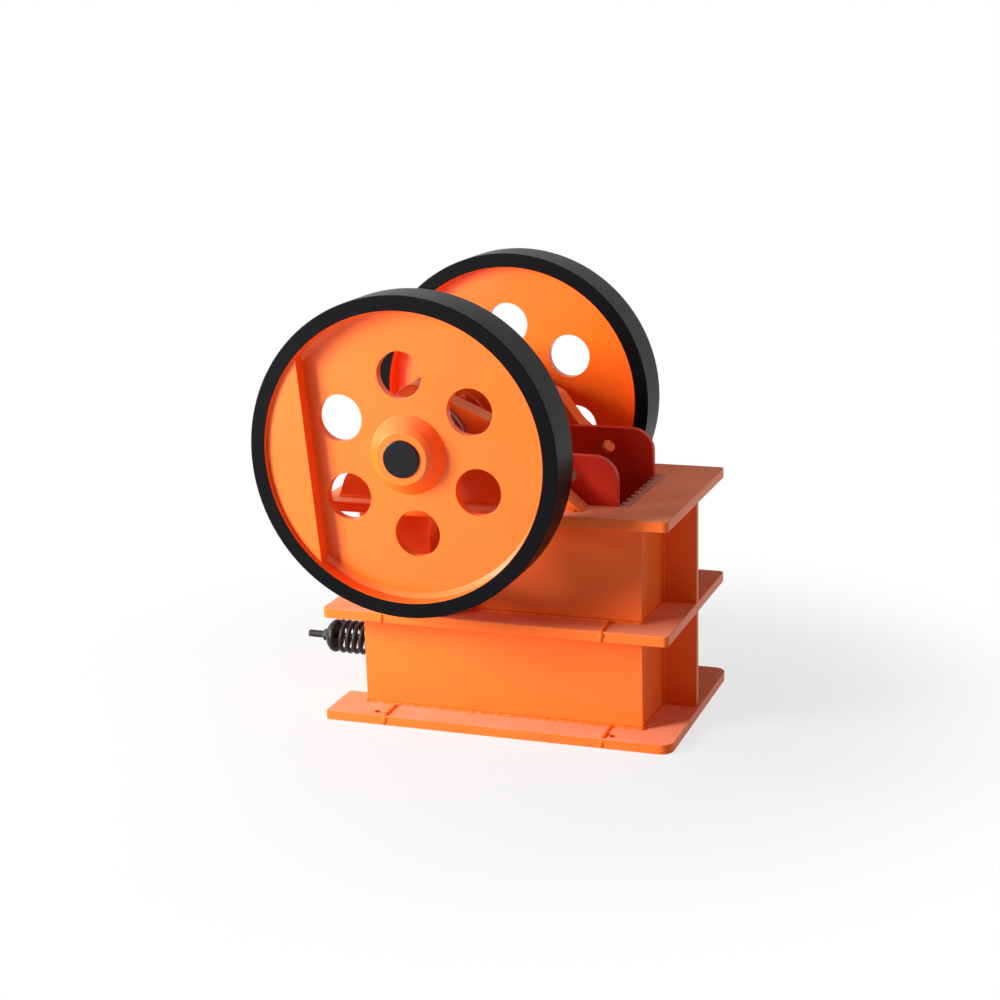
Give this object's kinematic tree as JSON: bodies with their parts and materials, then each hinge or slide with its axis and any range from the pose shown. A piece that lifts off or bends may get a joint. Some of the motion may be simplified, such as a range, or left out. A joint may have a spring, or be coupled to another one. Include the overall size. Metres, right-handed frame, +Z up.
{
  "type": "jaw crusher",
  "caption": "Small jaw crusher for stone: a welded box frame with flange rings, a toothed feed chamber, twin holed flywheels and a rear tension spring.",
  "frame": {"origin": "centre of the anchor-bolt pattern on the underside of the base flange", "axes": "+X towards the feed end, +Y towards the left side seen facing +X, along the shaft, +Z up"},
  "size_m": [0.9095, 0.746, 0.937],
  "materials": {
    "orange_paint": "satin orange machine enamel",
    "red_paint": "satin dark red primer coat",
    "jaw_steel": "cast wear plate with a thin pinkish overspray",
    "black_paint": "glossy black paint",
    "bearing_steel": "machined steel",
    "dark_steel": "oiled black steel"
  },
  "bodies": {
    "frame": {"base_flange": "orange_paint", "middle_flange": "orange_paint", "top_flange": "orange_paint", "rear_wall": "orange_paint", "lower_right_wall": "orange_paint", "lower_left_wall": "orange_paint", "lower_front_wall": "orange_paint", "lower_front_rib": "orange_paint", "upper_right_wall": "orange_paint", "upper_left_wall": "orange_paint", "upper_front_wall": "orange_paint", "upper_front_rib": "orange_paint", "right_side_rib": "orange_paint", "right_bearing_pedestal": "orange_paint", "right_bearing": "bearing_steel", "right_cheek_plate": "red_paint", "left_side_rib": "orange_paint", "left_bearing_pedestal": "orange_paint", "left_bearing": "bearing_steel", "left_cheek_plate": "red_paint", "fixed_jaw_plate": "jaw_steel", "toggle_block": "orange_paint", "toggle_plate": "dark_steel", "tension_spring": "dark_steel"},
    "rotor": {"eccentric_shaft": "black_paint", "right_flywheel_rim": "black_paint", "right_flywheel_web": "orange_paint", "left_flywheel_rim": "black_paint", "left_flywheel_web": "orange_paint"},
    "moving_jaw": {"pitman": "orange_paint", "moving_jaw_plate": "jaw_steel", "jaw_wedge": "jaw_steel", "right_barrel_cover": "orange_paint", "left_barrel_cover": "orange_paint", "tension_rod": "dark_steel", "rod_pin": "dark_steel", "spring_cup": "dark_steel", "rod_nut": "dark_steel"}
  },
  "joints": [
    {"name": "flywheel_spin", "type": "hinge", "parent": "frame", "child": "rotor", "pos_m": [-0.1245, 0, 0.612], "axis": [0, 1, 0], "continuous": true},
    {"name": "jaw_swing", "type": "hinge", "parent": "frame", "child": "moving_jaw", "pos_m": [-0.1245, 0, 0.612], "axis": [0, -1, 0], "range_deg": [0, 1.2], "deforming": ["tension_spring"]}
  ]
}
